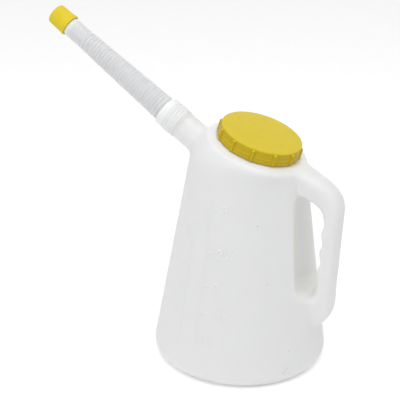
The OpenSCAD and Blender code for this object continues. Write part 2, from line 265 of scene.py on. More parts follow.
def add_camera():
    data = bpy.data.cameras.new("camera")
    data.sensor_width = 36.0
    data.lens = LENS
    data.clip_start = 0.05
    data.clip_end = 20.0
    camera = bpy.data.objects.new("camera", data)
    forward = Vector(CAMERA_FORWARD).normalized()
    up = Vector(CAMERA_UP)
    right = forward.cross(up).normalized()
    up = right.cross(forward)
    camera.matrix_world = Matrix.Translation(CAMERA_PLACE) @ Matrix(
        (right, up, -forward)
    ).transposed().to_4x4()
    bpy.context.scene.collection.objects.link(camera)
    bpy.context.scene.camera = camera


# Meshes


def make_object(name, points, faces, body, material, replaces=(), normals=None, sharp=32):
    """A shaded object of points in millimetres, riding on a body and standing for CAD nodes."""
    mesh = bpy.data.meshes.new(name)
    mesh.from_pydata((points * MM).tolist(), [], faces)
    mesh.validate()
    mesh.shade_smooth()
    if normals is not None:
        mesh.normals_split_custom_set_from_vertices(normals.tolist())
    elif sharp:
        mesh.set_sharp_from_angle(angle=math.radians(sharp))
    mesh.materials.append(material)
    piece = bpy.data.objects.new(name, mesh)
    bpy.context.scene.collection.objects.link(piece)
    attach(piece, body)
    if replaces:
        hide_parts(*replaces)
    return piece


def grid_faces(rows, columns, close_rows=False):
    """Quads over a grid of points whose columns close on themselves."""
    faces = []
    for i in range(rows if close_rows else rows - 1):
        for j in range(columns):
            a, b = i * columns, (i + 1) % rows * columns
            faces.append((a + j, a + (j + 1) % columns, b + (j + 1) % columns, b + j))
    return faces


def rounded(corners, steps=5):
    """A polyline of (r, z, radius) corners, each rounded by an arc of about that radius."""
    line = []
    n = len(corners)
    for i, (r, z, radius) in enumerate(corners):
        here = np.array((r, z), float)
        if not radius or i in (0, n - 1):
            line.append(here)
            continue
        before = np.array(corners[i - 1][:2]) - here
        after = np.array(corners[i + 1][:2]) - here
        a, b = np.linalg.norm(before), np.linalg.norm(after)
        cosine = np.clip(before @ after / (a * b), -1, 1)
        reach = min(radius / math.tan(math.acos(cosine) / 2), 0.49 * a, 0.49 * b)
        p, q = here + before / a * reach, here + after / b * reach
        for t in np.linspace(0, 1, steps + 1):
            line.append((1 - t) ** 2 * p + 2 * t * (1 - t) * here + t * t * q)
    return np.array(line)


def dense(line, step, low=-1e9, high=1e9):
    """The polyline with its runs between z low and high cut into pieces of about step."""
    out = [line[0]]
    for p, q in zip(line[:-1], line[1:]):
        inside = low <= min(p[1], q[1]) and max(p[1], q[1]) <= high
        n = max(1, math.ceil(np.linalg.norm(q - p) / step)) if inside else 1
        out += [p + (q - p) * t for t in np.linspace(0, 1, n + 1)[1:]]
    return np.array(out)


def turned(line, angles, relief=None):
    """Points and faces of a section line turned about its axis.

    relief(radius, z, angle, row) gives the radius with its raised detail. A line that starts or
    ends on the axis is closed there, and a line that ends where it starts is closed on itself.
    """
    closed = np.allclose(line[0], line[-1])
    if closed:
        line = line[:-1]
    radius, z = line[:, :1], line[:, 1:]
    r = radius + 0 * angles
    if relief:
        r = relief(r, z + 0 * angles, angles + 0 * radius, np.arange(len(line))[:, None])
    points = np.stack([r * np.cos(angles), r * np.sin(angles), z + 0 * angles], -1)
    columns = len(angles)
    faces = grid_faces(len(line), columns, closed)
    points = points.reshape(-1, 3)
    for row in (0, len(line) - 1):
        if not closed and line[row, 0] < 1e-6:
            ring = list(range(row * columns, (row + 1) * columns))
            centre = points[ring[0]].copy()
            points[ring] = centre
    return points, faces


def weld(points, faces):
    """The mesh with equal points made one and empty faces dropped."""
    keys, index = np.unique(np.round(points, 5), axis=0, return_inverse=True)
    index = index.reshape(-1)
    out = []
    for face in faces:
        ids = list(dict.fromkeys(int(index[k]) for k in face))
        if len(ids) > 2:
            out.append(tuple(ids))
    return keys, out


def smooth_step(x, low, high):
    t = np.clip((x - low) / (high - low), 0, 1)
    return t * t * (3 - 2 * t)


def thread(angle, z, pitch, start, end, width, height):
    """Height of a right-handed thread ridge that fades in above start and out below end."""
    turns = np.mod(z / pitch - angle / (2 * math.pi) + 0.5, 1) - 0.5
    ridge = np.clip(1 - np.abs(turns * pitch) / (width / 2), 0, 1)
    fade = smooth_step(z, start, start + 0.8) * (1 - smooth_step(z, end - 0.8, end))
    return height * smooth_step(ridge, 0, 0.7) * fade


# Jug skin


def wall_r(z):
    return BASE_R - TAPER * z


def mouth_point(r, a, h):
    c, s = math.cos(MOUTH_TILT), math.sin(MOUTH_TILT)
    return np.stack(
        [MOUTH_X + r * np.cos(a) * c + h * s, r * np.sin(a), MOUTH_Z - r * np.cos(a) * s + h * c],
        -1,
    )


def blend_point(a, up):
    r = wall_r(BLEND_Z) / (1 - TAPER * BLEND_SLOPE * np.cos(a))
    aside = np.minimum(a, 2 * math.pi - a)
    out = r - TAPER * up + CHEEK_OUT * np.exp(-((aside - CHEEK_ANGLE) / CHEEK_SPREAD) ** 2)
    return np.stack([out * np.cos(a), out * np.sin(a), BLEND_Z - BLEND_SLOPE * r * np.cos(a) + up], -1)


def body_rings():
    """Rings up the outside of the body, from the base to the land round the mouth."""
    a = np.linspace(0, 2 * math.pi, BODY_COLUMNS, endpoint=False)
    corner_x = BASE_R - TAPER * BASE_CORNER - BASE_CORNER / math.cos(TAPER_ANGLE)
    rings = []
    for turn in np.linspace(-math.pi / 2, TAPER_ANGLE, 14):
        r = corner_x + BASE_CORNER * math.cos(turn)
        z = BASE_CORNER * (1 + math.sin(turn))
        rings.append(np.stack([r * np.cos(a), r * np.sin(a), z + 0 * a], -1))
    p, q = blend_point(a, 0), blend_point(a, BLEND_PULL)
    r = mouth_point(EDGE_R + SHOULDER_REACH, a, EDGE_H - SHOULDER_REACH)
    s = mouth_point(EDGE_R, a, EDGE_H)
    for t in np.linspace(0, 1, 33):
        rings.append((1 - t) ** 3 * p + 3 * t * (1 - t) ** 2 * q + 3 * t * t * (1 - t) * r + t**3 * s)
    rings.append(mouth_point(LAND_R, a, -RIM_GAP))
    return np.array(rings)


def handle_rings():
    """Rings along the handle, each a squared ellipse with finger waves on its inner side."""
    part = np.linspace(0, 1, 8)
    end_x = GRIP_X - GRIP_LEAN
    half_t, half_w = GRIP_T / 2, GRIP_W / 2
    stations = list(ARM)
    stations += [
        (GRIP_X - GRIP_LEAN * t, GRIP_TOP - 10 - (GRIP_TOP - 10 - GRIP_LOW) * t, half_t, half_w)
        for t in part
    ]
    stations += [
        (end_x - 1, GRIP_LOW - 10, half_t + 1.6, half_w),
        (end_x - 5, GRIP_LOW - 18.5, half_t + 5.5, half_w + 0.5),
        (end_x - 12.5, GRIP_LOW - 24.5, 17.8, 15),
        (67, 62, 18.8, 17),
        (56, 62, 18.8, 18),
    ]
    s = np.array(stations, float)
    padded = np.vstack([s[:1], s, s[-1:]])
    line = []
    for a, b, c, d in zip(padded[:-3], padded[1:-2], padded[2:-1], padded[3:]):
        for t in np.linspace(0, 1, 8, endpoint=False):
            line.append(
                0.5 * (2 * b + (c - a) * t + (2 * a - 5 * b + 4 * c - d) * t**2
                       + (3 * b - a - 3 * c + d) * t**3)
            )
    line.append(s[-1])
    line = np.array(line)
    run = np.gradient(line[:, :2], axis=0)
    normal = np.stack([-run[:, 1], run[:, 0]], -1) / np.linalg.norm(run, axis=1)[:, None]
    angle = np.linspace(0, 2 * math.pi, HANDLE_COLUMNS, endpoint=False)
    cosine, sine = np.cos(angle), np.sin(angle)
    power = 2 / GRIP_SQUARE
    z = line[:, 1:2]
    inside = (z < GRIP_TOP - WAVE_START) & (z > GRIP_LOW) & (line[:, :1] > GRIP_X - 12)
    wave = WAVE_DEPTH / 2 * (1 - np.cos(2 * math.pi * (GRIP_TOP - WAVE_START - z) / WAVE_PITCH))
    dip = np.where(inside & (cosine < 0), wave * -cosine, 0)
    u = np.sign(cosine) * np.abs(cosine) ** power * (line[:, 2:3] - dip)
    v = np.sign(sine) * np.abs(sine) ** power * line[:, 3:4]
    return np.stack([line[:, :1] + normal[:, :1] * u, -v, line[:, 1:2] + normal[:, 1:] * u], -1)


def turned_rings(line, matrix=None):
    """Rings of a section line turned about its axis."""
    angle = np.linspace(0, 2 * math.pi, TURNED_COLUMNS, endpoint=False)
    rings = np.array([np.stack([r * np.cos(angle), r * np.sin(angle), z + 0 * angle], -1) for r, z in line])
    return moved(rings, matrix) if matrix else rings


def level_set(rings):
    """Signed distances on the grid to the closed skin over the rings."""
    rows, columns = rings.shape[:2]
    points = np.vstack([rings.reshape(-1, 3), rings[0].mean(0), rings[-1].mean(0)])
    quads = np.array(grid_faces(rows, columns))
    triangles = np.vstack([quads[:, [0, 1, 2]], quads[:, [0, 2, 3]]])
    ring = np.arange(columns)
    low = np.stack([ring, np.full(columns, rows * columns), (ring + 1) % columns], -1)
    top = (rows - 1) * columns
    high = np.stack([top + ring, top + (ring + 1) % columns, np.full(columns, rows * columns + 1)], -1)
    triangles = np.vstack([triangles, low, high]).astype(np.uint32)
    grid = openvdb.FloatGrid.createLevelSetFromPolygons(
        (points - GRID_LOW).astype(np.float32),
        triangles=triangles,
        transform=openvdb.createLinearTransform(voxelSize=VOXEL),
        halfWidth=BAND,
    )
    shape = np.ceil((GRID_HIGH - GRID_LOW) / VOXEL).astype(int)
    distances = np.full(shape, BAND * VOXEL, np.float32)
    grid.copyToArray(distances)
    return distances


def soft_min(a, b, radius):
    """Union of two distance fields with a fillet of about that radius."""
    h = np.clip(radius - np.abs(a - b), 0, None) / radius
    return np.minimum(a, b) - h * h * radius / 4


def soft_max(a, b, radius):
    return -soft_min(-a, -b, radius)


def blurred(field, weights=(0.25, 0.5, 0.25)):
    """The field with its creases softened along each axis."""
    for axis in range(3):
        padded = np.pad(field, [(1, 1) if k == axis else (0, 0) for k in range(3)], mode="edge")
        pieces = [np.take(padded, range(i, i + field.shape[axis]), axis) for i in range(3)]
        field = sum(w * piece for w, piece in zip(weights, pieces))
    return field


def jug_field():
    """Distance field of the outside of the jug, its parts blended as blow moulding blends them."""
    body = level_set(body_rings())
    handle = level_set(handle_rings())
    stub = level_set(turned_rings(
        [(STUB_R + STUB_FLARE, -STUB_REACH), (STUB_R, 2 * STUB_FLARE - STUB_REACH), (STUB_R, 6)], SPOUT))
    arc = np.linspace(0, math.pi / 2, 12)
    recess_line = [(1e-3, RECESS_LOW)]
    recess_line += [
        (RECESS_R - RECESS_END + RECESS_END * math.sin(t), RECESS_LOW + RECESS_END - RECESS_END * math.cos(t))
        for t in arc]
    recess_line += [
        (RECESS_R - RECESS_END + RECESS_END * math.cos(t), RECESS_TOP - RECESS_END + RECESS_END * math.sin(t))
        for t in arc]
    recess_line += [(1e-3, RECESS_TOP)]
    recess = level_set(turned_rings(recess_line, Matrix.Translation((RECESS_X + RECESS_R, 0, 0))))
    dish = level_set(turned_rings([(HOLLOW_R + 4, -1), (HOLLOW_R, HOLLOW_DEPTH)]))

    height = GRID_LOW[2] + VOXEL * np.arange(body.shape[2])
    body = soft_max(body, -recess, RECESS_BLEND)
    body = soft_max(body, -dish, DISH_BLEND)
    arm_blend = np.interp(height, *zip(*ARM_BLEND)).astype(np.float32)
    field = soft_min(body, handle, arm_blend)
    platform = level_set(turned_rings(PLATFORM, MOUTH))
    field = soft_min(field, platform, PLATFORM_BLEND)
    field = soft_min(field, stub, STUB_BLEND)
    grid = np.stack(np.meshgrid(*[GRID_LOW[k] + VOXEL * np.arange(body.shape[k]) for k in range(3)],
                                indexing="ij"), -1)
    room = local(grid.reshape(-1, 3), MOUTH).reshape(grid.shape)
    room = np.maximum(np.hypot(room[..., 0], room[..., 1]) - LAND_R, LAND_H - room[..., 2])
    return blurred(soft_max(field, -room.astype(np.float32), ROOM_BLEND))


def sample(field, points, step):
    """Trilinear values of the field at points, in its own grid of that step."""
    q = (points - GRID_LOW) / step
    i = np.clip(np.floor(q).astype(int), 0, np.array(field.shape) - 2)
    f = q - i
    value = 0
    for corner in np.ndindex(2, 2, 2):
        c = np.array(corner)
        weight = np.prod(np.where(c, f, 1 - f), axis=1)
        value = value + weight * field[tuple((i + c).T)]
    return value


def isosurface(field, level, step, flip):
    """Points, faces and normals of a level of the field."""
    grid = openvdb.FloatGrid(BAND * VOXEL)
    grid.copyFromArray(field)
    grid.transform = openvdb.createLinearTransform(voxelSize=step)
    points, triangles, quads = grid.convertToPolygons(isovalue=level, adaptivity=0.0)
    points = points.astype(float) + GRID_LOW
    slopes = [np.gradient(field, step, axis=axis) for axis in range(3)]
    for _ in range(SETTLE_STEPS):
        normals = np.stack([sample(slope, points, step) for slope in slopes], -1)
        length = np.linalg.norm(normals, axis=1)[:, None]
        points -= normals / np.maximum(length, 0.2) ** 2 * (sample(field, points, step) - level)[:, None]
    normals = np.stack([sample(slope, points, step) for slope in slopes], -1)
    normals /= np.linalg.norm(normals, axis=1)[:, None]
    faces = [tuple(f) for f in quads.tolist()] + [tuple(f) for f in triangles.tolist()]
    centre = points[[f[0] for f in faces]]
    side = np.einsum(
        "ij,ij->i",
        np.cross(points[[f[1] for f in faces]] - centre, points[[f[2] for f in faces]] - centre),
        normals[[f[0] for f in faces]],
    )
    turn = (np.median(side) < 0) != flip
    if turn:
        faces = [f[::-1] for f in faces]
    return points, faces, -normals if flip else normals


def trimmed(points, faces, normals):
    """The skin with its openings: inside the mouth's wall and at the end of the stub."""
    at_mouth = local(points, MOUTH)
    radius = np.hypot(at_mouth[:, 0], at_mouth[:, 1])
    in_mouth = (radius < MOUTH_R - 0.9) & (at_mouth[:, 2] > -6)
    past_stub = local(points, SPOUT)[:, 2] > 0
    drop = in_mouth | past_stub
    kept = [f for f in faces if not drop[list(f)].all()]
    edge = local(points, SPOUT)
    edge[past_stub, 2] = 0
    points = np.where(past_stub[:, None], moved(edge, SPOUT), points)
    used = np.unique(np.concatenate([np.array(f) for f in kept]))
    index = np.full(len(points), -1)
    index[used] = np.arange(len(used))
    return points[used], [tuple(int(index[k]) for k in f) for f in kept], normals[used]


def add_jug_skin(material):
    field = jug_field()
    outer = trimmed(*isosurface(field, 0.0, VOXEL, False))
    inner = trimmed(*isosurface(np.ascontiguousarray(field[::2, ::2, ::2]), -WALL, 2 * VOXEL, True))
    count = len(outer[0])
    return make_object(
        "jug_skin",
        np.vstack([outer[0], inner[0]]),
        outer[1] + [tuple(k + count for k in f) for f in inner[1]],
        "jug",
        material,
        ["jug_body"],
        np.vstack([outer[2], inner[2]]),
    )


def add_mouth_neck(material):
    """The mouth's wall with its thread, standing on the land."""
    line = rounded([
        (MOUTH_R - MOUTH_WALL, -2.8, 0), (MOUTH_R + 1.2, -2.8, 0), (MOUTH_R + 1.0, -0.5, 0.3),
        (MOUTH_R, -0.2, 0.3), (MOUTH_R, MOUTH_TOP, 0.6),
        (MOUTH_R - MOUTH_WALL, MOUTH_TOP, 0.6),
        (MOUTH_R - MOUTH_WALL, -2.8, 0)])
    line = dense(line, 0.3, -0.21, MOUTH_TOP)
    angles = np.linspace(0, 2 * math.pi, 240, endpoint=False)

    def relief(r, z, a, row):
        ridge = thread(a, z, LID_PITCH, 0.6, 8.4, *NECK_RIDGE)
        return np.where((np.abs(r - MOUTH_R) < 0.05) & (z > 0.1), r + ridge, r)

    points, faces = turned(line, angles, relief)
    make_object("mouth_neck", moved(points, MOUTH), faces, "jug", material)


def add_stub_nose(material):
    """The threaded nose on the stub, which the spout's collar screws on."""
    line = rounded([
        (NOSE_BORE, -1.6, 0), (STUB_R - 0.2, -1.6, 0), (STUB_R + 0.3, -0.7, 0.4), (STUB_R + 0.25, 0, 0.2),
        (NOSE_R, 0, 0.3), (NOSE_R, NOSE_LEN, 0.5), (NOSE_BORE, NOSE_LEN, 0.5), (NOSE_BORE, -1.6, 0)])
    line = dense(line, 0.25, -0.1, NOSE_LEN)
    angles = np.linspace(0, 2 * math.pi, 128, endpoint=False)

    def relief(r, z, a, row):
        ridge = thread(a, z, COLLAR_PITCH, 0.8, NOSE_LEN - 1, *NOSE_RIDGE)
        return np.where((r > NOSE_R - 0.05) & (z > 0.1), r + ridge, r)

    points, faces = turned(line, angles, relief)
    make_object("stub_nose", moved(points, SPOUT), faces, "jug", material)


# Lid


def add_lid(material):
    """The screw lid with its grip ribs, its band and its inner thread."""
    line = rounded([
        (0, LID_CEILING, 0), (LID_BORE, LID_CEILING, 0.6), (LID_BORE, 0, 0.3), (LID_R + BAND_OUT, 0, 0.3),
        (LID_R + 0.2, 1.0, 0.3), (SKIRT_R + 0.1, 4.2, 0.3), (SKIRT_R + 0.35, 4.5, 0.15),
        (SKIRT_R + 0.35, 5.0, 0.15), (SKIRT_R, 5.4, 0.3), (SKIRT_R, LID_H, 2.2),
        (0, LID_H, 0)])
    line = dense(line, 0.3, 0, LID_H - 0.02)
    rib = np.concatenate([np.linspace(-2.4, 2.4, 27), np.linspace(2.4, 18.3, 11)[1:-1]]) / LID_R
    starts = [RIB_START + 2 * math.pi * k / RIB_COUNT for k in range(RIB_COUNT)]
    angles = np.sort(np.concatenate([start + rib for start in starts]))
    outside = np.arange(len(line)) > np.argmin(np.abs(line[:, 0] - LID_BORE) + np.abs(line[:, 1]))

    def relief(r, z, a, row):
        ridge = thread(a + math.pi, z, LID_PITCH, 0.8, LID_CEILING - 0.8, *LID_RIDGE)
        r = np.where((np.abs(r - LID_BORE) < 0.02) & ~outside[row], r - ridge, r)
        spacing = 2 * math.pi / RIB_COUNT
        across = (np.mod(a - RIB_START + spacing / 2, spacing) - spacing / 2) * LID_R
        above = np.clip(z - (RIB_TOP - RIB_W / 2), 0, None)
        depth = np.clip(RIB_W / 2 - np.hypot(across, above), 0, 1.1) / 1.1
        crest = SKIRT_R + (LID_R + RIB_OUT - SKIRT_R) * np.sqrt(1 - (1 - depth) ** 2)
        raised = outside[row] & (depth > 0) & (z < RIB_TOP) & (r > LID_R - 2.5)
        return np.where(raised, np.maximum(r, crest), r)

    points, faces = weld(*turned(line, angles, relief))
    make_object("screw_lid", moved(points, MOUTH), faces, "lid_turned", material, ["lid"])


# Spout


def fold_r(z):
    """Outer radius of the folded tube: round backs between narrow valleys."""
    along = np.clip(z - FOLDS_Z, 0, FOLD_COUNT * FOLD_PITCH)
    base = TUBE_R1 - (TUBE_R1 - TUBE_R2) * along / (FOLD_COUNT * FOLD_PITCH)
    swell = 0.5 - 0.5 * np.cos(2 * math.pi * along / FOLD_PITCH)
    return base + FOLD_H * (0.3 + 0.7 * swell)


def add_spout(material):
    """The blown spout: collar with its thread showing through, folds, smooth tip and nozzle."""
    collar = rounded([
        (COLLAR_BORE, 0.1, 0), (COLLAR_R, 0.1, 0.4), (COLLAR_R, COLLAR_LEN, 3.2),
        (TUBE_R1, COLLAR_LEN + 0.6, 0.4), (TUBE_R1, FOLDS_Z, 0)])
    collar = dense(collar, 0.3, 0, COLLAR_LEN)
    z = np.linspace(FOLDS_Z, TIP_Z, FOLD_COUNT * 9 + 1)
    folds = np.stack([fold_r(z), z], -1)
    tip = rounded([
        (TUBE_R2, TIP_Z, 0), (TIP_R, TIP_Z + 1, 0.4), (TIP_R, CAP_Z - 0.1, 0.3), (NOZZLE_R, CAP_Z - 0.1, 0.2),
        (NOZZLE_R, NOZZLE_END, 0.4), (NOZZLE_BORE, NOZZLE_END, 0.4), (NOZZLE_BORE, CAP_Z - 3, 1),
        (TIP_R - TUBE_WALL, CAP_Z - 5, 1), (TIP_R - TUBE_WALL, TIP_Z, 0)])
    tip = dense(tip, 0.4, CAP_Z - 0.1, NOZZLE_END)
    back = np.linspace(TIP_Z, FOLDS_Z, FOLD_COUNT * 5 + 1)
    inside = np.stack([fold_r(back) - TUBE_WALL, back], -1)
    root = np.array([
        (NOSE_BORE, COLLAR_FLOOR + 2), (NOSE_BORE, COLLAR_FLOOR), (COLLAR_BORE, COLLAR_FLOOR),
        (COLLAR_BORE, 0.1)])
    line = np.vstack([collar, folds[1:], tip[1:], inside[1:], dense(root, 0.4, 0, COLLAR_FLOOR)])
    angles = np.linspace(0, 2 * math.pi, 88, endpoint=False)

    def relief(r, z, a, row):
        outer = (r > COLLAR_R - 0.05) & (z < COLLAR_LEN)
        r = np.where(outer, r + thread(a, z, COLLAR_PITCH, 1.5, 16.5, *COLLAR_RIDGE), r)
        bore = (np.abs(r - COLLAR_BORE) < 0.01) & (z > 0.5) & (row > 10)
        r = np.where(bore, r - thread(a + math.pi, z, COLLAR_PITCH, 0.8, NOSE_LEN - 0.5, *BORE_RIDGE), r)
        nozzle = (np.abs(r - NOZZLE_R) < 0.01) & (z > CAP_Z)
        return np.where(nozzle, r + thread(a, z - CAP_Z, NOZZLE_PITCH, 2, 15, *NOZZLE_RIDGE), r)

    points, faces = turned(line, angles, relief)
    make_object("corrugated_spout", moved(points, SPOUT), faces, "spout_turned", material,
                ["spout"], sharp=50)


def add_cap(material):
    """The knurled cap on the spout's tip."""
    line = rounded([
        (0, CAP_CEILING, 0), (CAP_BORE, CAP_CEILING, 0.5), (CAP_BORE, 0, 0.3), (CAP_R + BEAD_OUT, 0, 1.0),
        (CAP_R + BEAD_OUT, BEAD_W, 0.6), (CAP_R, BEAD_W + 0.5, 0.3), (CAP_END_R, CAP_LEN, CAP_ROUND),
        (0, CAP_LEN, 0)], 7)
    line = dense(line, 0.5, 0, CAP_LEN - CAP_ROUND)
    angles = np.linspace(0, 2 * math.pi, KNURL_COUNT * 10, endpoint=False)
    outside = np.arange(len(line)) > np.argmin(np.abs(line[:, 0] - CAP_BORE) + np.abs(line[:, 1]))

    def relief(r, z, a, row):
        ridge = thread(a + math.pi, z, NOZZLE_PITCH, 1.2, 16, *CAP_RIDGE)
        r = np.where((np.abs(r - CAP_BORE) < 0.02) & ~outside[row], r - ridge, r)
        groove = smooth_step(np.abs(np.sin(KNURL_COUNT * a / 2)), 0.85, 0.2)
        reach = smooth_step(z, BEAD_W + 0.2, BEAD_W + 1.6)
        reach = reach * (1 - smooth_step(z, CAP_LEN - 2.2, CAP_LEN - 0.6))
        return np.where(outside[row] & (r > CAP_END_R - 2.5), r - KNURL_DEPTH * groove * reach, r)

    points, faces = weld(*turned(line, angles, relief))
    make_object("spout_cap_shell", moved(points, CAP), faces, "cap_turned", material,
                ["spout_cap"])


# Graduations and marks


def wall_strokes(strokes, half, height):
    """Raised ridges on the tapered wall, along strokes of (azimuth, along, z) anchors and points."""
    points, faces = [], []
    section = ((-half * 1.5, -0.3), (-half * 0.6, height), (half * 0.6, height), (half * 1.5, -0.3))
    for azimuth, stroke in strokes:
        flat = np.array(stroke, float)
        run = np.gradient(flat, axis=0)
        run /= np.linalg.norm(run, axis=1)[:, None]
        flat[0] -= run[0] * half * 0.5
        flat[-1] += run[-1] * half * 0.5
        side = np.stack([-run[:, 1], run[:, 0]], -1)
        first = len(points)
        for q, n in zip(flat, side):
            for across, up in section:
                u, v = q + n * across
                a = math.radians(azimuth) + u / wall_r(v)
                r = wall_r(v) + up
                points.append((r * math.cos(a), r * math.sin(a), v))
        rows = len(flat)
        for i in range(rows - 1):
            for k in range(3):
                c = first + 4 * i + k
                faces.append((c, c + 4, c + 5, c + 1))
        faces.append(tuple(first + k for k in range(4)))
        faces.append(tuple(first + 4 * (rows - 1) + k for k in (3, 2, 1, 0)))
    return np.array(points), faces


def written(text, azimuth, start, z, size, right=True):
    """Strokes of a plain number that starts (or ends) at a distance along the wall."""
    strokes, pen = [], 0.0
    for sign in text:
        parts = [(sign, 0.0, 0.0, 1.0)]
        if sign == "h":
            parts = [("1", 0.06, 0.42, 0.58), ("/", 0.38, 0.0, 1.0), ("2", 0.86, 0.0, 0.58)]
        for part, dx, dy, grow in parts:
            for stroke in DIGITS[part]:
                strokes.append([(pen + dx + x * grow * 0.58, dy + y * grow) for x, y in stroke])
        pen += 1.2 if sign == "h" else 0.78
    shift = 0 if right else -(pen - 0.2)
    return [(azimuth, [(start + (x + shift) * size, z + (y - 0.5) * size) for x, y in s]) for s in strokes]


def add_graduations(light, dull):
    strong, faint = [], []
    for z, text in LITRES:
        strong.append((LITRE_AZIMUTH, [(0.2, z - 0.6), (5.2, z - 0.6)]))
        strong += written(text, LITRE_AZIMUTH, 8.8, z - 0.9, LITRE_SIZE)
    for z, text in SMALL_MARKS:
        faint.append((SMALL_AZIMUTH, [(-1.5, z), (2.5, z)]))
        faint += written(text, SMALL_AZIMUTH, -5.0, z, SMALL_SIZE, right=False)
    for azimuth, low, high in SPINES:
        faint.append((azimuth, [(0, z) for z in np.linspace(low, high, 24)]))
    run = np.linspace(0, 1, 14)
    scratch = [(SCRATCH_AZIMUTH, [(-17.0 * t, 27.1 - 12.8 * t + 0.6 * math.sin(5 * t)) for t in run])]
    for name, strokes, half, height, material in (
            ("litre_marks", strong, 0.7, 0.25, light), ("small_marks", faint, 0.4, 0.06, light),
            ("scratch", scratch, 0.4, 0.05, dull)):
        points, faces = wall_strokes(strokes, half, height)
        make_object(name, points, faces, "jug", material)


# Materials


def srgb(r, g, b):
    """A linear colour from 8-bit display values."""
    return tuple(((c / 255 + 0.055) / 1.055) ** 2.4 if c > 10 else c / 255 / 12.92 for c in (r, g, b)) + (1,)


class Nodes:
    """A small helper to lay out one material's nodes."""

    def __init__(self, name):
        self.material = bpy.data.materials.new(name)
        self.material.use_nodes = True
        self.tree = self.material.node_tree
        self.shader = self.tree.nodes["Principled BSDF"]
        self.position = self.tree.nodes.new("ShaderNodeTexCoord").outputs["Object"]

    def new(self, kind, inputs=None, **settings):
        node = self.tree.nodes.new(kind)
        for key, value in settings.items():
            setattr(node, key, value)
        for key, value in (inputs or {}).items():
            if isinstance(value, bpy.types.NodeSocket):
                self.tree.links.new(value, node.inputs[key])
            else:
                node.inputs[key].default_value = value
        return node

    def noise(self, scale, detail=2.0, stretch=(1, 1, 1), **inputs):
        place = self.new("ShaderNodeMapping", {"Vector": self.position, "Scale": stretch})
        values = {"Vector": place.outputs[0], "Scale": scale, "Detail": detail}
        values.update(inputs)
        return self.new("ShaderNodeTexNoise", values).outputs["Fac"]

    def range(self, value, low, high, to_low, to_high):
        node = self.new("ShaderNodeMapRange", {
            "Value": value, "From Min": low, "From Max": high, "To Min": to_low, "To Max": to_high})
        return node.outputs["Result"]

    def math(self, operation, a, b=0.0):
        return self.new("ShaderNodeMath", {0: a, 1: b}, operation=operation).outputs[0]

    def mix(self, factor, a, b):
        node = self.new("ShaderNodeMix", data_type="RGBA")
        for socket, value in ((node.inputs[0], factor), (node.inputs[6], a), (node.inputs[7], b)):
            if isinstance(value, bpy.types.NodeSocket):
                self.tree.links.new(value, socket)
            else:
                socket.default_value = value
        return node.outputs[2]

    def bump(self, height, strength, distance, normal=None):
        inputs = {"Height": height, "Strength": strength, "Distance": distance}
        if normal is not None:
            inputs["Normal"] = normal
        return self.new("ShaderNodeBump", inputs).outputs[0]

    def link(self, value, key):
        self.tree.links.new(value, self.shader.inputs[key])

    def set(self, **values):
        for key, value in values.items():
            self.shader.inputs[key.replace("_", " ").title().replace("Ior", "IOR")].default_value = value


def plastic_white(name, light, shade, scatter, depth, body=False):
    """Translucent polyethylene: milky, softly glossy, with the faint waves of blow moulding."""
    n = Nodes(name)
    cloud = n.noise(28.0, 3.0)
    color = n.mix(n.range(cloud, 0.3, 0.7, 0, 1), light, shade)
    waves = n.bump(n.noise(45.0, 1.0), 0.2, 0.0006)
    if body:
        x, y, z = n.new("ShaderNodeSeparateXYZ", {"Vector": n.position}).outputs
        # Painted shade: the finger recess's wall is tinted darker and warmer, most on its near side by the
        # lip, where it lies in shade
        axis = n.new("ShaderNodeCombineXYZ", {0: (RECESS_X + RECESS_R) * MM, 1: 0.0, 2: z}).outputs[0]
        away = n.new("ShaderNodeVectorMath", {0: n.position, 1: axis}, operation="DISTANCE").outputs["Value"]
        near = n.math("ABSOLUTE", n.math("SUBTRACT", away, RECESS_R * MM))
        low = n.math("MULTIPLY", n.range(z, 0.08, 0.098, 0, 1), n.range(z, 0.16, 0.178, 1, 0))
        recess_shade = n.math("MULTIPLY", n.range(near, 0.0008, 0.003, 1, 0), n.range(x, 0.064, 0.072, 1, 0))
        recess_shade = n.math("MULTIPLY", recess_shade, n.range(y, -0.006, 0.012, 1, 0))
        color = n.mix(n.math("MULTIPLY", low, recess_shade), color, RECESS_PAINTED_SHADE)
        for place, size, tone, strength in SPECKS:
            centre = [c * MM for c in place]
            spot = n.new("ShaderNodeVectorMath", {0: n.position, 1: centre}, operation="DISTANCE")
            spot = n.range(spot.outputs["Value"], size * 0.5 * MM, size * MM, strength, 0)
            color = n.mix(spot, color, tone)
        # Parting line of the mould, in the plane of the handle
        line = n.range(n.math("ABSOLUTE", y), 0.00015, 0.0006, 1, 0)
        waves = n.bump(line, 0.6, 0.00025, waves)
    n.link(color, "Base Color")
    n.link(n.range(n.noise(190.0, 3.0), 0.3, 0.7, 0.28, 0.36), "Roughness")
    n.link(n.bump(n.noise(1400.0, 2.0), 0.12, 0.00008, waves), "Normal")
    n.set(subsurface_weight=scatter, subsurface_scale=depth, subsurface_radius=(1.0, 0.97, 0.93), ior=1.45)
    return n.material


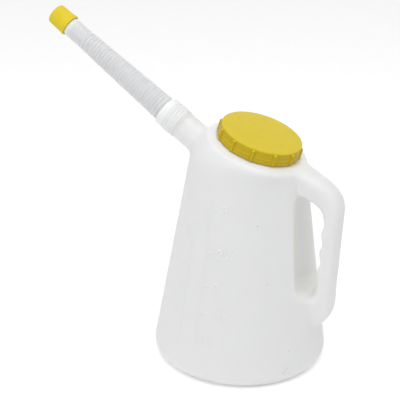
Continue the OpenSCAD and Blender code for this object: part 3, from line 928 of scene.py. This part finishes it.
def plastic_yellow(name, axis, side_shaded_pale, side_shaded_dark):
    """Opaque yellow polyethylene with a fine moulded grain, with painted light: the faces across its axis are
    painted paler as a painted sheen, the sides take darker painted-shade colours.
    """
    n = Nodes(name)
    patches = n.range(n.noise(90.0, 4.0), 0.3, 0.7, 0, 1)
    facing = n.new("ShaderNodeNewGeometry").outputs["Normal"]
    along = n.new("ShaderNodeVectorMath", {0: facing, 1: axis}, operation="DOT_PRODUCT").outputs["Value"]
    # Painted light: the sides get darker painted-shade colours and the faces across the axis a paler
    # painted-sheen colour, chosen by how far each face turns to the axis
    side = n.mix(patches, side_shaded_pale, side_shaded_dark)
    top = n.mix(patches, srgb(217, 194, 38), srgb(214, 190, 34))
    n.link(n.mix(n.range(along, 0.25, 0.8, 0, 1), side, top), "Base Color")
    n.link(n.range(n.noise(240.0, 3.0), 0.3, 0.7, 0.38, 0.5), "Roughness")
    coarse = n.bump(n.noise(900.0, 3.0), 0.16, 0.00012)
    n.link(n.bump(n.noise(2600.0, 2.0), 0.16, 0.00006, coarse), "Normal")
    n.set(subsurface_weight=0.1, subsurface_scale=0.0015, subsurface_radius=(1.0, 0.8, 0.2), ior=1.45,
          specular_ior_level=0.3)
    return n.material


def foam(name):
    """Closed-cell sealing foam."""
    n = Nodes(name)
    cells = n.new("ShaderNodeTexVoronoi", {"Vector": n.position, "Scale": 1500.0}).outputs["Distance"]
    n.link(n.mix(n.range(cells, 0, 0.7, 0, 1), srgb(206, 206, 202), srgb(178, 178, 174)), "Base Color")
    n.link(n.bump(cells, 0.5, 0.0002), "Normal")
    n.set(roughness=0.9)
    return n.material


# Surroundings


def add_area(name, place, target, size, power):
    data = bpy.data.lights.new(name, "AREA")
    data.shape = "SQUARE"
    data.size = size
    data.energy = power
    lamp = bpy.data.objects.new(name, data)
    lamp.location = place
    lamp.rotation_euler = (Vector(target) - Vector(place)).to_track_quat("-Z", "Y").to_euler()
    bpy.context.scene.collection.objects.link(lamp)


def see_white(tree, shader):
    """A shader that shows plain white to the camera and in reflections, and itself to the rest."""
    path = tree.nodes.new("ShaderNodeLightPath")
    seen = None
    for ray in ("Is Camera Ray", "Is Glossy Ray", "Is Transmission Ray"):
        if seen is None:
            seen = path.outputs[ray]
            continue
        both = tree.nodes.new("ShaderNodeMath")
        both.operation = "MAXIMUM"
        tree.links.new(seen, both.inputs[0])
        tree.links.new(path.outputs[ray], both.inputs[1])
        seen = both.outputs[0]
    white = tree.nodes.new("ShaderNodeBackground")
    white.inputs["Color"].default_value = (1, 1, 1, 1)
    white.inputs["Strength"].default_value = 1.0
    mix = tree.nodes.new("ShaderNodeMixShader")
    tree.links.new(seen, mix.inputs[0])
    tree.links.new(shader, mix.inputs[1])
    tree.links.new(white.outputs[0], mix.inputs[2])
    return mix.outputs[0]


def add_studio():
    scene = bpy.context.scene
    scene.view_settings.view_transform = "Standard"
    world = bpy.data.worlds.new("studio")
    scene.world = world
    world.use_nodes = True
    tree = world.node_tree
    soft = tree.nodes["Background"]
    soft.inputs["Color"].default_value = (1, 1, 1, 1)
    soft.inputs["Strength"].default_value = WORLD_LIGHT
    tree.links.new(see_white(tree, soft.outputs[0]), tree.nodes["World Output"].inputs["Surface"])

    add_area("overhead", (0.3, -0.3, 1.7), (0, 0, 0.12), 1.3, 10)
    add_area("front", (-0.65, -1.75, 0.95), (0, 0, 0.15), 0.4, 4.5)

    floor = Nodes("floor")
    fleck = floor.range(floor.noise(30.0, 3.0), 0.3, 0.7, 0, 1)
    floor.link(floor.mix(fleck, (0.93, 0.93, 0.93, 1), (0.95, 0.95, 0.95, 1)), "Base Color")
    floor.set(roughness=0.9)
    path = floor.new("ShaderNodeLightPath")
    lift = floor.new("ShaderNodeEmission", {"Color": (1, 1, 1, 1)})
    floor.tree.links.new(
        floor.range(path.outputs["Is Camera Ray"], 0, 1, 0, FLOOR_LIFT), lift.inputs["Strength"])
    lifted = floor.new("ShaderNodeAddShader")
    floor.tree.links.new(floor.shader.outputs[0], lifted.inputs[0])
    floor.tree.links.new(lift.outputs[0], lifted.inputs[1])
    floor.tree.links.new(lifted.outputs[0], floor.tree.nodes["Material Output"].inputs["Surface"])
    size = FLOOR_SIZE
    corners = np.array([(-size, -size, 0), (size, -size, 0), (size, size, 0), (-size, size, 0)])
    mesh = bpy.data.meshes.new("floor")
    mesh.from_pydata(corners.tolist(), [], [(0, 1, 2, 3)])
    mesh.materials.append(floor.material)
    plane = bpy.data.objects.new("floor", mesh)
    scene.collection.objects.link(plane)


def paint_node(name, material):
    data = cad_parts[name].data
    data.materials.clear()
    data.materials.append(material)


add_camera()
add_studio()

jug_plastic = plastic_white("jug_plastic", srgb(254, 253, 251), srgb(252, 251, 248), 0.76, 0.0048, True)
neck_plastic = plastic_white("neck_plastic", srgb(240, 240, 238), srgb(237, 237, 235), 0.0, 0.001)
mark_plastic = plastic_white("mark_plastic", srgb(247, 247, 246), srgb(244, 244, 243), 0.0, 0.001)
dull_plastic = plastic_white("dull_plastic", srgb(222, 221, 216), srgb(226, 225, 221), 0.0, 0.001)
spout_plastic = plastic_white("spout_plastic", srgb(252, 252, 251), srgb(250, 250, 250), 0.85, 0.005)
# The two colours given to each yellow part are the painted-shade colours of its sides
lid_plastic = plastic_yellow("lid_plastic", (math.sin(MOUTH_TILT), 0, math.cos(MOUTH_TILT)),
                             srgb(194, 169, 16), srgb(190, 164, 12))
cap_plastic = plastic_yellow("cap_plastic", (-math.cos(SPOUT_RISE), 0, math.sin(SPOUT_RISE)),
                             srgb(228, 206, 44), srgb(224, 201, 38))
seal_foam = foam("seal_foam")

add_jug_skin(jug_plastic)
add_mouth_neck(neck_plastic)
add_stub_nose(neck_plastic)
add_lid(lid_plastic)
add_spout(spout_plastic)
add_cap(cap_plastic)
add_graduations(mark_plastic, dull_plastic)
for seal in ("lid_seal", "spout_seal", "cap_liner"):
    paint_node(seal, seal_foam)
